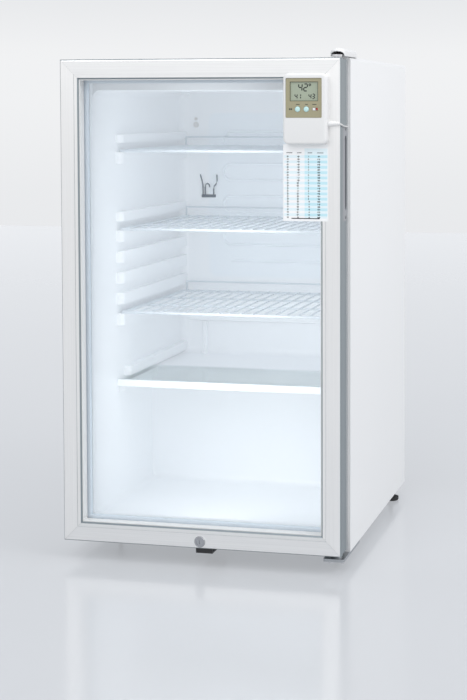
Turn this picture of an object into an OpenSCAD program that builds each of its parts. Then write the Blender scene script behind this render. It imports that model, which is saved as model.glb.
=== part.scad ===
// Counter-height refrigerator with a glass door, three wire shelves and a glass shelf.
// Every sub-part is drawn in the cabinet's own frame: x is 0 at the middle, y is 0 at the
// cabinet's front plane and grows to the back, and z is 0 at the cabinet's underside.

/* [Cabinet] */
// Outside width of the cabinet
cab_w = 500; // [480:5:540]
// Outside height of the cabinet, without its feet
cab_h = 845; // [820:5:900]
// Depth of the cabinet, without its door
cab_d = 518; // [500:2:560]
// Height of the levelling feet
foot_h = 25; // [22:1:32]
// Thickness of the steel sheet
sheet_t = 1.5; // [1:0.1:2]

/* [Liner] */
// Half the inside width of the compartment
room_half_w = 213; // [205:1:216]
// Distance from the front plane to the liner's back wall
room_back = 485; // [478:1:488]
// Height of the compartment's ceiling
ceiling_z = 790; // [780:1:798]
// Height of the compartment's floor
floor_z = 35; // [33:1:36]
// Distance from the front plane to the compressor step
step_y = 300; // [296:1:304]
// Height of the compressor step
step_z = 254; // [252:1:255]
// Wall thickness of the liner
liner_t = 2; // [1.5:0.1:2.2]

/* [Door] */
// Half the door's width
door_half_w = 247.5; // [245:0.5:248]
// Height of the door
door_h = 835; // [815:1:836]
// Gap between the cabinet's front plane and the back of the door
door_gap = 12; // [12:0.5:14]
// Thickness of the door
door_t = 50; // [48:1:52]
// Width of the frame's face
face_w = 34; // [34:0.5:36]
// Distance from the frame's face to the outer pane
pane_depth = 21; // [19:0.5:22]

/* [Shelves] */
// Distance between two shelf positions
shelf_pitch = 38.3; // [38:0.1:38.5]
// Distance from the front plane to a wire shelf's front rail
shelf_front = 120; // [116:1:126]
// Distance between two long shelf wires
wire_pitch = 21.3; // [20:0.1:21.4]
// Diameter of the long shelf wires
wire_d = 3; // [2.5:0.1:3.2]

/* [Hinges] */
// Distance of the hinge axis from the middle of the door
hinge_x = 235; // [233:0.5:236]
// Diameter of the hinge pins
pin_d = 8; // [7:0.5:9]

/* [Hidden] */
$fn = 64;
fine = 0.05;

// Overall placing: the origin is under the middle of the whole object, on the floor.
case_t = 17;
door_front = -door_gap - door_t;
door_back = -door_gap;
front_most = door_front - case_t;
cab_half_w = cab_w / 2;
wall_in = cab_half_w - sheet_t;

// Door heights.
door_z0 = 7;
door_z1 = door_z0 + door_h;

// Door build-up, counted back from the frame's face.
pane_t = 4;
pane_gap = 8;
seat_w = 26;
pane_half_w = door_half_w - seat_w - 1;
unit_t = 2 * pane_t + pane_gap;

// Hinge places.
hinge_y = -30;
plate_t = 3;
pin_reach = 16;
bush_r = 7;
foot_places = [[-204, 100], [204, 100], [-232, 465], [232, 465]];
stud_r = 4;

// Shelf positions, as heights of the rib tops that carry the shelves.
rib_h = 21;
rib_in = 12;
rib_front = 112;
rib_z0 = 361;
rest_gap = 0.4;
rib_levels = [for (i = [0:4]) rib_z0 + shelf_pitch * i];
low_shelf_z = rib_levels[0] + rib_h + rest_gap;
mid_shelf_z = rib_levels[4] + rib_h + rest_gap;
top_shelf_z = 678.5 + rest_gap;
cap_levels = [[552.5, 16.5], [657.5, 21], [696, 15]];
rail_d = 5;
shelf_half_w = 204.5;
shelf_rear = 468;
guard_h = 20;
glass_z = 255.5;
ledge_z = 238;
glass_back = 292;
trim_y = 106;

// Thermostat housing on the right wall.
house_y = [140, 300];
house_z = [712.5, 775];
lens_y = [246, 292];
lens_z = [720, 768];
house_in = 23;
knob_y = 178;
switch_y = 222;
dial_z = 750;

// Thermometer on the door.
case_x = [152.7, 227];
case_z = [699, 816];
case_r = 9;
bezel_x = [157.6, 218.5];
bezel_z = [743, 808];
screen_x = [165.3, 211.5];
screen_z = [771, 801.5];
button_z = 757;
button_xs = [177.5, 192.3];
button_r = 4.4;
switch_x = 205.6;

// Recessed grips in both door edges.
grip_z = [588, 713];
grip_v = [29.5, 42.5];
grip_in = 13.5;
grip_wall = 1.5;
channel_v = [14, 46];
channel_in = 1.2;

// Lock in the bottom rail.
lock_z = 18.7;
lock_len = 28.5;
cam_v = [29.6, 32.6];
cam_len = 22;

// Thin cable of the door probe: round numbers chosen by hand, from the plug round the door's edge.
cable_r = 1.2;
cable_route = [[238, -67.2, 733], [245, -67.2, 733], [247.2, -66.5, 732.6], [248.5, -64.8, 731.8],
    [248.8, -61, 730.6], [248.8, -50, 729], [248.8, -38, 728.2], [248.8, -25, 728], [248.8, -14.5, 728],
    [248.3, -11.8, 728], [246, -10.6, 728], [242, -10.5, 728], [234, -10.5, 728], [222, -10.5, 728],
    [211, -10.5, 728], [206.5, -12, 728], [203, -16, 727.5], [199.5, -20, 726], [197, -21.3, 723],
    [196, -21.5, 719]];

// ---------- shared shapes ----------

module in_cabinet() {
    translate([0, -(front_most + cab_d) / 2, foot_h]) children();
}

// A flat outline in x and z, carried along y.
module along_y(y0, y1) {
    translate([0, y1, 0]) rotate([90, 0, 0]) linear_extrude(height = y1 - y0) children();
}

// A flat outline in y and z, carried along x.
module along_x(x0, x1) {
    translate([x0, 0, 0]) rotate([90, 0, 90]) linear_extrude(height = x1 - x0) children();
}

module box(x, y, z) {
    translate([x[0], y[0], z[0]]) cube([x[1] - x[0], y[1] - y[0], z[1] - z[0]]);
}

module both_sides() {
    children();
    mirror([1, 0, 0]) children();
}

module round_rect(x, y, r) {
    translate([x[0] + r, y[0]]) square([x[1] - x[0] - 2 * r, y[1] - y[0]]);
    translate([x[0], y[0] + r]) square([x[1] - x[0], y[1] - y[0] - 2 * r]);
    for (cx = [x[0] + r, x[1] - r], cy = [y[0] + r, y[1] - r]) translate([cx, cy]) circle(r);
}

// A rod from one point to another that lies along x, y or z from it, or slanting.
module rod(a, b, r) {
    d = b - a;
    len = norm(d);
    turn = atan2(d[1], d[0]);
    tilt = acos(d[2] / len);
    translate(a) rotate([0, tilt, turn]) cylinder(r = r, h = len, $fn = 24);
}

// A bent rod: straight rods with a ball at every bend.
module bent_rod(points, r) {
    for (i = [0:len(points) - 2]) rod(points[i], points[i + 1], r);
    for (i = [1:len(points) - 2]) translate(points[i]) sphere(r, $fn = 24);
}

// A round tube swept along a route as one closed skin.
function unit(v) = v / norm(v);
function heading(p, i) = unit(p[min(i + 1, len(p) - 1)] - p[max(i - 1, 0)]);
function level_side(t) = unit(cross(t, abs(t[2]) > 0.9 ? [1, 0, 0] : [0, 0, 1]));
function ring(p, i, r, n) =
    let (t = heading(p, i), s = level_side(t), u = cross(s, t))
    [for (k = [0:n - 1]) p[i] + r * (cos(360 * k / n) * s + sin(360 * k / n) * u)];
module swept_tube(p, r, n) {
    rings = [for (i = [0:len(p) - 1]) each ring(p, i, r, n)];
    last = (len(p) - 1) * n;
    walls = [for (i = [0:len(p) - 2], k = [0:n - 1])
        [i * n + k, i * n + (k + 1) % n, (i + 1) * n + (k + 1) % n, (i + 1) * n + k]];
    caps = [[for (k = [0:n - 1]) n - 1 - k], [for (k = [0:n - 1]) last + k]];
    polyhedron(rings, concat(walls, caps), convexity = 4);
}

// Pan-head screw whose head sits on the origin and points along +z.
module pan_screw(head_r, head_h, shank_r, shank_l) {
    difference() {
        union() {
            cylinder(r = head_r, h = head_h * 0.5);
            translate([0, 0, head_h * 0.5]) cylinder(r1 = head_r, r2 = head_r * 0.7, h = head_h * 0.5);
        }
        for (a = [0, 90]) rotate([0, 0, a])
            translate([-head_r * 0.5, -0.5, head_h * 0.5]) cube([head_r, 1, head_h]);
    }
    translate([0, 0, -shank_l]) cylinder(r = shank_r, h = shank_l, $fn = 24);
}

// ---------- cabinet ----------

front_lip = 18;
corner_r = 6;

module wrap_outline(inset, z0) {
    half = cab_half_w - inset;
    top = cab_h - inset;
    r = corner_r - inset;
    translate([-half, z0]) square([2 * half, top - r - z0]);
    translate([-half + r, z0]) square([2 * (half - r), top - z0]);
    for (x = [-half + r, half - r]) translate([x, top - r]) circle(r);
}

module outer_wrap() {
    color("white") in_cabinet() {
        along_y(sheet_t, cab_d) difference() {
            wrap_outline(0, 0);
            wrap_outline(sheet_t, -1);
        }
        along_y(0, sheet_t) difference() {
            wrap_outline(0, 0);
            translate([-cab_half_w + front_lip, -1]) square([cab_w - 2 * front_lip, cab_h - front_lip + 1]);
        }
        back_lip = 16;
        along_y(cab_d - 4, cab_d - 4 + sheet_t) difference() {
            wrap_outline(sheet_t, 0);
            translate([-wall_in + back_lip, -1]) square([2 * (wall_in - back_lip), cab_h - sheet_t - back_lip + 1]);
        }
    }
}

panel_y = cab_d - 4 + sheet_t;
panel_t = 1;
panel_half_w = cab_half_w - 4;
panel_z0 = 226;

module back_panel() {
    color("gainsboro") in_cabinet() {
        difference() {
            box([-panel_half_w, panel_half_w], [panel_y, panel_y + panel_t], [panel_z0, cab_h - 8]);
            for (i = [0:3]) panel_screw_place(i) translate([0, 0, -3]) cylinder(r = 2.1, h = 6, $fn = 24);
        }
    }
}

// Screws of the back panel, four down each side.
module panel_screw_place(i) {
    z = panel_z0 + 30 + i * 180;
    for (x = [-panel_half_w + 8, panel_half_w - 8])
        translate([x, panel_y + panel_t, z]) rotate([-90, 0, 0]) children();
}

top_plate_x = [225, 247];
top_plate_y = [-20, 52];
bottom_plate_y = [-50, 82];
plate_x = [214, 249.5];
bottom_plate_t = 5;

module cabinet_screws() {
    color("dimgray") in_cabinet() {
        for (i = [0:3]) panel_screw_place(i) pan_screw(3.6, 1.4, 2.1, panel_t);
        for (y = [14, 44]) translate([236, y, cab_h + plate_t]) pan_screw(4.5, 2.6, 2.5, plate_t);
        for (y = [18, 30]) translate([221, y, -bottom_plate_t]) rotate([180, 0, 0])
            pan_screw(4.5, 3, 2.5, bottom_plate_t);
        for (x = [224, 245.8]) translate([x, -42, -bottom_plate_t]) rotate([180, 0, 0])
            pan_screw(3.4, 3.4, 2.2, bottom_plate_t);
        for (x = [-8, 8]) translate([x, 32, -8]) rotate([180, 0, 0]) pan_screw(4, 2.5, 2, 2.5);
    }
}

module base_pan() {
    color("silver") in_cabinet() difference() {
        union() {
            box([-wall_in, wall_in], [sheet_t, cab_d - 4], [0, sheet_t]);
            box([-cab_half_w + front_lip, cab_half_w - front_lip], [0, sheet_t], [0, front_lip]);
            box([-room_half_w, room_half_w], [cab_d - 4 - sheet_t, cab_d - 4], [sheet_t, 14]);
        }
        for (p = foot_places) translate([p[0], p[1], -1]) cylinder(r = stud_r + fine, h = 4);
        for (i = [0:7], x = [-150, -70]) box([x, x + 46], [360 + i * 16, 366 + i * 16], [-1, 3]);
    }
}

foam_gap = 0.2;

module foam_block(x, y, z) {
    box([x[0] + foam_gap, x[1] - foam_gap], [y[0] + foam_gap, y[1] - foam_gap],
        [z[0] + foam_gap, z[1] - foam_gap]);
}

recess_z = 808;
recess_y = 296;
recess_half_w = 193;

module foam_insulation() {
    skin_x = room_half_w + liner_t;
    y_in = [2, cab_d - 4];
    back_skin = room_back + liner_t;
    top_z = cab_h - sheet_t;
    low = sheet_t;
    middle = [-skin_x, skin_x];
    color("khaki") in_cabinet() difference() {
        union() {
            both_sides() foam_block([skin_x, wall_in], y_in, [low, top_z - 6]);
            foam_block(middle, y_in, [recess_z + liner_t, top_z]);
            foam_block(middle, [2, recess_y - liner_t], [ceiling_z + liner_t, recess_z + liner_t]);
            foam_block(middle, [back_skin, y_in[1]], [step_z - liner_t, recess_z + liner_t]);
            foam_block(middle, [step_y + liner_t, y_in[1]], [step_z - 30, step_z - liner_t]);
            foam_block(middle, [step_y + liner_t, step_y + 36], [low, step_z - 30]);
            foam_block(middle, [2, step_y + liner_t], [low, floor_z - liner_t]);
        }
        for (p = foot_places) translate([p[0], p[1], 0]) cylinder(r = stud_r + 1, h = 16);
        drain_path(1.2);
        box([-skin_x - 1, skin_x + 1], [step_y, step_y + 11], [step_z - 11, step_z]);
    }
}

// Inside shape of the compartment; grow thickens it for the outside of the liner.
module room_side_view(grow) {
    front = -40;
    round_rect([front, room_back + grow], [step_z - grow, ceiling_z + grow], 14 + grow);
    round_rect([front, step_y + grow], [floor_z - grow, step_z + 60], 12 + grow);
    r = 8;
    translate([step_y + grow, step_z - grow - r]) difference() {
        square([r, r + 1]);
        translate([r, 0]) circle(r);
    }
}

module room(grow) {
    half = room_half_w + grow;
    intersection() {
        along_x(-half, half) room_side_view(grow);
        along_y(-30, room_back + grow + 1) round_rect([-half, half], [floor_z - grow, ceiling_z + grow], 14 + grow);
        linear_extrude(height = cab_h) round_rect([-half, half], [-60, room_back + grow], 18 + grow);
    }
}

module ceiling_recess(grow) {
    box([-recess_half_w - grow, recess_half_w + grow], [recess_y - grow, room_back + grow],
        [ceiling_z - 20, recess_z + grow]);
}

// One shelf support rib on the right wall, with a rounded front end.
module rib(z, h, front, rear = room_back) {
    translate([0, 0, z]) linear_extrude(height = h) intersection() {
        union() {
            translate([room_half_w - rib_in, front + rib_in]) square([rib_in + 1, rear - front - rib_in]);
            translate([room_half_w, front + rib_in]) circle(rib_in);
        }
        translate([room_half_w - rib_in, front]) square([rib_in + 1, rear - front]);
    }
}

module inner_liner() {
    color("aliceblue") in_cabinet() {
        difference() {
            union() {
                intersection() {
                    union() {
                        room(liner_t);
                        ceiling_recess(liner_t);
                    }
                    box([-wall_in, wall_in], [0, cab_d], [0, cab_h]);
                }
                box([-cab_half_w + front_lip, cab_half_w - front_lip], [0, liner_t],
                    [front_lip, cab_h - front_lip]);
            }
            room(0);
            ceiling_recess(0);
            drain_path(0);
            translate([drain_x, 479, step_z]) cylinder(r = 6, h = 20);
            translate([-180, room_back - 1, 726]) rotate([-90, 0, 0]) cylinder(r = 5, h = 5);
        }
        both_sides() {
            for (z = rib_levels) rib(z, rib_h, rib_front);
            for (c = cap_levels) rib(c[0], c[1], rib_front);
            rib(ledge_z, glass_z - 0.5 - ledge_z, rib_front + 6, step_y);
            rib(263, 16.5, 146);
        }
        sill_h = 3;
        along_x(-room_half_w, room_half_w) polygon([[0, floor_z], [78, floor_z],
            [70, floor_z + sill_h], [0, floor_z + sill_h]]);
    }
}

evap_x = 152;
evap_z = [415, 750];
tube_pitch = 33;

module evaporator_plate() {
    plate_front = room_back - 1.5;
    bend_x = 121 - tube_pitch / 2;
    color("white") in_cabinet() difference() {
        union() {
            along_y(plate_front, room_back) round_rect([-evap_x, evap_x], evap_z, 16);
            for (i = [0:8]) rod([-bend_x, plate_front, 448 + i * tube_pitch],
                [bend_x, plate_front, 448 + i * tube_pitch], 3);
            for (i = [0:7]) {
                side = (i % 2 == 0) ? 1 : -1;
                translate([side * bend_x, plate_front, 448 + (i + 0.5) * tube_pitch]) rotate([90, 0, 0])
                    rotate([0, 0, side > 0 ? -90 : 90]) rotate_extrude(angle = 180)
                        translate([tube_pitch / 2, 0]) circle(3, $fn = 24);
            }
        }
        box([-evap_x - 5, evap_x + 5], [room_back, room_back + 5], [evap_z[0] - 5, evap_z[1] + 5]);
    }
}

gutter_z = 322;
gutter_half_w = 194;
drain_x = -161;

module drip_gutter() {
    color("white") in_cabinet() difference() {
        along_x(-gutter_half_w, gutter_half_w) polygon([[room_back, gutter_z], [474.5, gutter_z + 3],
            [474.5, gutter_z + 12], [476, gutter_z + 12], [476, gutter_z + 4.6], [room_back, gutter_z + 1.8]]);
        translate([drain_x, 480.5, gutter_z - 2]) cylinder(r = 3, h = 8, $fn = 24);
    }
}

module drain_path(slack) {
    translate([drain_x, 479, step_z - 34]) cylinder(r = 4 + slack, h = 60);
}

module drain_tube() {
    color("white") in_cabinet() difference() {
        union() {
            translate([drain_x, 479, step_z]) cylinder(r = 5.9, h = gutter_z - 0.2 - step_z);
            translate([drain_x, 479, step_z - 40]) cylinder(r = 4, h = 41);
        }
        translate([drain_x, 479, step_z - 41]) cylinder(r = 2.6, h = 100, $fn = 24);
    }
}

module sensor_clip() {
    r = 1.3;
    face = room_back - 1.5;
    y = face - r;
    color("slategray") in_cabinet() {
        swept_tube([[-168.6, y - 6, 624], [-166.5, y - 3, 613], [-165, y - 1, 603], [-164.7, y, 580]], r, 10);
        swept_tube([[-133.3, y - 6, 624], [-133.5, y - 4, 611], [-136, y - 2.5, 605], [-140.6, y - 1, 600],
            [-142, y - 0.5, 594], [-142, y, 580]], r, 10);
        swept_tube([[-160, y, 580], [-160, y - 1, 598], [-158, y - 2, 604], [-154, y - 3, 606],
            [-150.5, y - 3, 603], [-149.5, y - 3, 598]], r, 10);
        box([-168, -138], [face - 1, face], [577, 583]);
    }
}

module wall_plug() {
    color("white") in_cabinet() {
        translate([-180, room_back + 2, 726]) rotate([90, 0, 0]) {
            cylinder(r = 4.9, h = 4);
            translate([0, 0, 2]) cylinder(r = 6, h = 1.2);
        }
        translate([-180, room_back, 738]) rotate([90, 0, 0]) difference() {
            cylinder(r = 3.4, h = 2);
            translate([0, 0, 0.6]) cylinder(r = 1.8, h = 3, $fn = 24);
        }
    }
}

module thermostat_housing() {
    x = [room_half_w - house_in, room_half_w];
    color("whitesmoke") in_cabinet() difference() {
        along_x(x[0], x[1]) round_rect(house_y, house_z, 8);
        translate([x[0] - 1, knob_y, dial_z]) rotate([0, 90, 0]) cylinder(r = 3.05, h = 12, $fn = 32);
        box([x[0] - 1, x[0] + 10], [switch_y - 10.5, switch_y + 10.5], [dial_z - 6.2, dial_z + 6.2]);
        box([x[0] - 1, x[0] + 14], lens_y, lens_z);
    }
}

module lamp_lens() {
    x0 = room_half_w - house_in;
    color("lightyellow") in_cabinet() difference() {
        box([x0 - 4, x0 + 6], lens_y, lens_z);
        box([x0 - 2, x0 + 7], [lens_y[0] + 2, lens_y[1] - 2], [lens_z[0] + 2, lens_z[1] - 2]);
    }
}

module thermostat_knob() {
    x0 = room_half_w - house_in;
    color("whitesmoke") in_cabinet() translate([x0 - 0.5, knob_y, dial_z]) rotate([0, -90, 0]) difference() {
        union() {
            cylinder(r = 17, h = 3);
            cylinder(r = 14, h = 9);
            translate([0, 0, -9]) cylinder(r = 3, h = 10, $fn = 32);
            translate([-13, -2.5, 8]) cube([26, 5, 4]);
        }
        translate([9, -0.6, 11.4]) cube([5, 1.2, 2]);
    }
}

module light_switch() {
    x0 = room_half_w - house_in;
    color("white") in_cabinet() translate([x0 + 2, switch_y, dial_z]) {
        linear_extrude(height = 11, center = true)
            polygon([[-3, -9], [-4.6, -8.6], [-3.2, 0], [-4.6, 8.6], [-3, 9], [5, 7], [5, -7]]);
        translate([0, 0, -6.1]) cylinder(r = 1.5, h = 12.2, $fn = 32);
    }
}

// ---------- compressor compartment ----------

comp_x = 92;
comp_y = 420;
comp_z0 = 16;

module compressor() {
    color("black") in_cabinet() translate([comp_x, comp_y, comp_z0]) {
        intersection() {
            cylinder(r = 66, h = 142);
            translate([0, 0, 71]) sphere(r = 86);
        }
        translate([0, 0, 66]) cylinder(r = 68.5, h = 5);
        difference() {
            translate([0, 0, 1.5]) cube([168, 104, 3], center = true);
            for (x = [-72, 72], y = [-40, 40]) translate([x, y, -1]) cylinder(r = 6.5, h = 5);
        }
    }
}

module compressor_mounts() {
    color("#303030") in_cabinet() for (x = [-72, 72], y = [-40, 40])
        translate([comp_x + x, comp_y + y, sheet_t]) {
            cylinder(r = 10, h = comp_z0 - sheet_t);
            cylinder(r = 6.4, h = comp_z0 - sheet_t + 3);
            translate([0, 0, comp_z0 - sheet_t + 3]) cylinder(r = 9, h = 3);
        }
}

coil_x = [-196, -30];
coil_y = 494;

coil_bend = 9;
coil_z0 = 44;
coil_rows = 8;

module condenser_coil() {
    ends = [coil_x[0] + coil_bend, coil_x[1] - coil_bend];
    color("#262626") in_cabinet() {
        for (i = [0:coil_rows]) rod([ends[0], coil_y, coil_z0 + 2 * coil_bend * i],
            [ends[1], coil_y, coil_z0 + 2 * coil_bend * i], 2.6);
        for (i = [0:coil_rows - 1]) {
            side = (i % 2 == 0) ? 1 : -1;
            translate([ends[side > 0 ? 1 : 0], coil_y, coil_z0 + coil_bend * (2 * i + 1)]) rotate([90, 0, 0])
                rotate([0, 0, side > 0 ? -90 : 90]) rotate_extrude(angle = 180)
                    translate([coil_bend, 0]) circle(2.6, $fn = 24);
        }
        for (x = [ends[0] + 6:11.6:ends[1] - 4])
            box([x - 0.8, x + 0.8], [coil_y + 2, coil_y + 3.6], [coil_z0 - 8, coil_z0 + 2 * coil_bend * coil_rows + 8]);
        for (x = [ends[0] + 3, ends[1] - 3])
            box([x - 3, x + 3], [coil_y - 1, coil_y + 3.6], [sheet_t, coil_z0]);
    }
}

module refrigerant_pipes() {
    top_row = coil_z0 + 2 * coil_bend * coil_rows;
    hook_y = coil_y - 24;
    left = coil_x[0] + coil_bend;
    color("peru") in_cabinet() {
        swept_tube([[comp_x - 66.2, comp_y + 12, 74], [comp_x - 76, comp_y + 12, 74], [comp_x - 84, comp_y + 12, 80],
            [comp_x - 86, comp_y + 14, 92], [comp_x - 86, comp_y + 20, 150], [comp_x - 90, comp_y + 30, top_row - 6],
            [comp_x - 100, comp_y + 44, top_row], [-20, hook_y + 4, top_row], [-30, hook_y + 10, top_row],
            [coil_x[1] - coil_bend - 1, coil_y - 8, top_row], [coil_x[1] - coil_bend - 1, coil_y - 2.8, top_row]], 2.4, 8);
        swept_tube([[comp_x - 40, comp_y - 54, 74], [comp_x - 40, comp_y - 61, 74], [comp_x - 40, comp_y - 68, 78],
            [comp_x - 40, comp_y - 72, 88], [comp_x - 40, comp_y - 72, 223]], 3, 8);
        swept_tube([[left + 1, coil_y - 2.8, coil_z0], [left, coil_y - 8, coil_z0], [left - 1, hook_y + 6, coil_z0 + 2],
            [left, hook_y, coil_z0 + 8], [left, hook_y, coil_z0 + 24]], 2.4, 8);
        translate([left, hook_y, coil_z0 + 22]) {
            cylinder(r1 = 2.4, r2 = 9, h = 10);
            translate([0, 0, 10]) cylinder(r = 9, h = 78);
            translate([0, 0, 88]) cylinder(r1 = 9, r2 = 1.6, h = 10);
        }
        swept_tube([[left, hook_y, coil_z0 + 118], [left, hook_y, coil_z0 + 150], [left + 6, hook_y - 4, coil_z0 + 162],
            [left + 20, hook_y - 8, coil_z0 + 167], [left + 30, hook_y - 10, coil_z0 + 172],
            [left + 32, hook_y - 10, 223]], 1.4, 8);
    }
}

pan_z0 = comp_z0 + 142;

module evaporation_pan() {
    color("#3a3a3a") in_cabinet() difference() {
        along_y(comp_y - 62, comp_y + 62) round_rect([comp_x - 74, comp_x + 74], [pan_z0, pan_z0 + 22], 4);
        box([comp_x - 71.5, comp_x + 71.5], [comp_y - 59.5, comp_y + 59.5], [pan_z0 + 2.5, pan_z0 + 23]);
    }
}

// The compressor's relay box, and the block where the mains lead would enter.
module electrical_boxes() {
    inlet_back = cab_d - 4 - sheet_t;
    color("#222222") in_cabinet() {
        along_y(comp_y - 26, comp_y + 26) round_rect([comp_x + 69, comp_x + 106], [62, 116], 5);
        difference() {
            union() {
                box([-212, -188], [inlet_back - 18, inlet_back], [sheet_t, 32]);
                translate([-200, inlet_back, 23]) rotate([-90, 0, 0]) cylinder(r = 7, h = 4);
            }
            translate([-200, inlet_back - 8, 23]) rotate([-90, 0, 0]) cylinder(r = 3.6, h = 14, $fn = 32);
        }
    }
}

// ---------- hinges ----------

module top_hinge_plate() {
    color("silver") in_cabinet() difference() {
        translate([0, 0, cab_h]) linear_extrude(height = plate_t) {
            translate([top_plate_x[0], top_plate_y[0]])
                square([top_plate_x[1] - top_plate_x[0], top_plate_y[1] - top_plate_y[0]]);
            translate([hinge_x, hinge_y]) circle(10.5);
            translate([hinge_x - 10, hinge_y]) square([20.5, 12]);
        }
        for (y = [14, 44]) translate([236, y, cab_h - 1]) cylinder(r = 2.5, h = 6, $fn = 32);
        translate([hinge_x, hinge_y, cab_h - 1]) cylinder(d = pin_d, h = 6);
    }
}

// Long low dome of the hinge cover, from its rim to the height h.
module cover_shape(mid_x, half, dome, h, drop) {
    hull() for (y = [hinge_y - 1, 52]) {
        translate([mid_x, y, cab_h + drop]) cylinder(r = half, h = 5, $fn = 32);
        translate([mid_x, y, cab_h + drop]) cylinder(r = half - dome, h = h - drop, $fn = 32);
    }
}

// White cap over the top hinge, open towards the door.
module hinge_cover() {
    cover_h = 14;
    wall = 1.8;
    half = 13.5;
    mid_x = 236;
    dome = 5;
    color("white") in_cabinet() difference() {
        cover_shape(mid_x, half, dome, cover_h, 0);
        cover_shape(mid_x, half - wall, dome, cover_h - wall, -1);
        translate([mid_x, hinge_y - 20, cab_h - 1]) rotate([-90, 0, 0])
            cylinder(r = 9, h = 16, $fn = 32);
    }
}

module bottom_hinge_plate() {
    color("silver") in_cabinet() difference() {
        translate([0, 0, -bottom_plate_t])
            linear_extrude(height = bottom_plate_t) round_rect(plate_x, bottom_plate_y, 3);
        translate([hinge_x, hinge_y, -6]) cylinder(d = pin_d, h = 8);
        for (y = [18, 30]) translate([221, y, -6]) cylinder(r = 2.5, h = 8, $fn = 32);
        for (x = [224, 245.8]) translate([x, -42, -6]) cylinder(r = 2.2, h = 8, $fn = 32);
    }
}

// Both hinge pins, and the polished washer that carries the door.
module hinge_pins() {
    color("lightgray") in_cabinet() translate([hinge_x, hinge_y, 0]) {
        translate([0, 0, door_z1 - pin_reach]) cylinder(d = pin_d, h = cab_h + plate_t - door_z1 + pin_reach);
        translate([0, 0, -bottom_plate_t]) cylinder(d = pin_d, h = bottom_plate_t + door_z0 + pin_reach);
        cylinder(d = 13, h = door_z0 - 0.35);
        translate([0, 0, cab_h - 2.6]) cylinder(d = 13, h = 2.6);
    }
}

module lock_strike() {
    lip_y = door_front + cam_v[0] - 4.5;
    color("gray") in_cabinet() difference() {
        union() {
            box([-15, 15], [lip_y, 44], [-8, -5.5]);
            box([-15, 15], [lip_y, lip_y + 2.5], [-5.5, 2]);
            box([-15, 15], [18, 44], [-5.5, 0]);
        }
        for (x = [-8, 8]) translate([x, 32, -9]) cylinder(r = 2, h = 4, $fn = 32);
    }
}

// ---------- levelling feet ----------

module foot(x, y) {
    color("#2b2b2b") in_cabinet() translate([x, y, -foot_h]) {
        cylinder(r1 = 14, r2 = 15.5, h = 2);
        translate([0, 0, 2]) cylinder(r = 15.5, h = 5);
        translate([0, 0, 7]) cylinder(r = 9, h = 4, $fn = 6);
        translate([0, 0, 11]) cylinder(r = stud_r, h = foot_h + 2);
    }
}

module foot_front_left() { foot(foot_places[0][0], foot_places[0][1]); }
module foot_front_right() { foot(foot_places[1][0], foot_places[1][1]); }
module foot_rear_left() { foot(foot_places[2][0], foot_places[2][1]); }
module foot_rear_right() { foot(foot_places[3][0], foot_places[3][1]); }

// ---------- door frame ----------

// Section of a frame member: x runs in from the door's edge, y runs back from its face.
module member_section() {
    edge_r = 3;
    bevel = 2.5;
    difference() {
        union() {
            translate([edge_r, 0]) square([face_w - edge_r, pane_depth - 0.1]);
            translate([0, edge_r]) square([seat_w, door_t - edge_r]);
            translate([edge_r, edge_r]) circle(edge_r);
        }
        translate([25.4, -1]) square([1, 1.8]);
        translate([face_w, 0]) rotate([0, 0, 45]) square([bevel * sqrt(2), bevel * sqrt(2)], center = true);
        translate([-1, channel_v[0]]) square([1 + channel_in, channel_v[1] - channel_v[0]]);
    }
}

// The member's place along one side, cut at 45 degrees at both ends.
module mitred(side) {
    mitre_gap = 0.12;
    reach = 60;
    w = door_half_w;
    mid = (door_z0 + door_z1) / 2;
    h = door_h / 2;
    outlines = [
        [[-w + mitre_gap, mid + h], [w - mitre_gap, mid + h], [w - reach - mitre_gap, mid + h - reach],
            [-w + reach + mitre_gap, mid + h - reach]],
        [[-w, mid + h - mitre_gap], [-w + reach, mid + h - reach - mitre_gap],
            [-w + reach, mid - h + reach + mitre_gap], [-w, mid - h + mitre_gap]]];
    intersection() {
        children();
        along_y(door_front - 1, door_back + 1) polygon(outlines[side]);
    }
}

module hinge_holes() {
    for (z = [door_z0 - 1, door_z1 - pin_reach]) translate([hinge_x, hinge_y, z])
        cylinder(r = bush_r, h = pin_reach + 1);
}

module top_member() {
    mitred(0) translate([-door_half_w, door_front, door_z1]) rotate([0, 90, 0])
        linear_extrude(height = 2 * door_half_w) member_section();
}

module door_top_rail() {
    color("silver") in_cabinet() difference() {
        top_member();
        hinge_holes();
    }
}

module door_bottom_rail() {
    barrel_v = lock_len;
    color("silver") in_cabinet() difference() {
        translate([0, 0, door_z0 + door_z1]) mirror([0, 0, 1]) top_member();
        hinge_holes();
        translate([0, door_front - 1, lock_z]) rotate([-90, 0, 0]) cylinder(r = 9, h = barrel_v + 2);
        box([-10, 27], [door_front + barrel_v, door_front + 34.5], [door_z0 - 1, lock_z + 8.2]);
    }
}

module stile() {
    difference() {
        mitred(1) translate([-door_half_w, door_front, door_z0])
            linear_extrude(height = door_h) member_section();
        box([-door_half_w - 1, -door_half_w + grip_in + grip_wall + 0.1],
            [door_front + grip_v[0] - grip_wall, door_front + grip_v[1] + grip_wall],
            [grip_z[0] - grip_wall, grip_z[1] + grip_wall]);
        for (z = grip_screw_zs) translate([-door_half_w - 1, grip_screw_y, z])
            rotate([0, 90, 0]) cylinder(r = 1.5, h = 9, $fn = 24);
    }
}

module door_left_stile() {
    color("silver") in_cabinet() stile();
}

module door_right_stile() {
    color("silver") in_cabinet() difference() {
        mirror([1, 0, 0]) stile();
        hinge_holes();
    }
}

module pane(y) {
    inset = seat_w + 1;
    box([-door_half_w + inset, door_half_w - inset], [y, y + pane_t], [door_z0 + inset, door_z1 - inset]);
}

pane_y = door_front + pane_depth;

module glass_panes() {
    color("lightcyan", 0.4) in_cabinet() {
        pane(pane_y);
        pane(pane_y + pane_t + pane_gap);
    }
}

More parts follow.
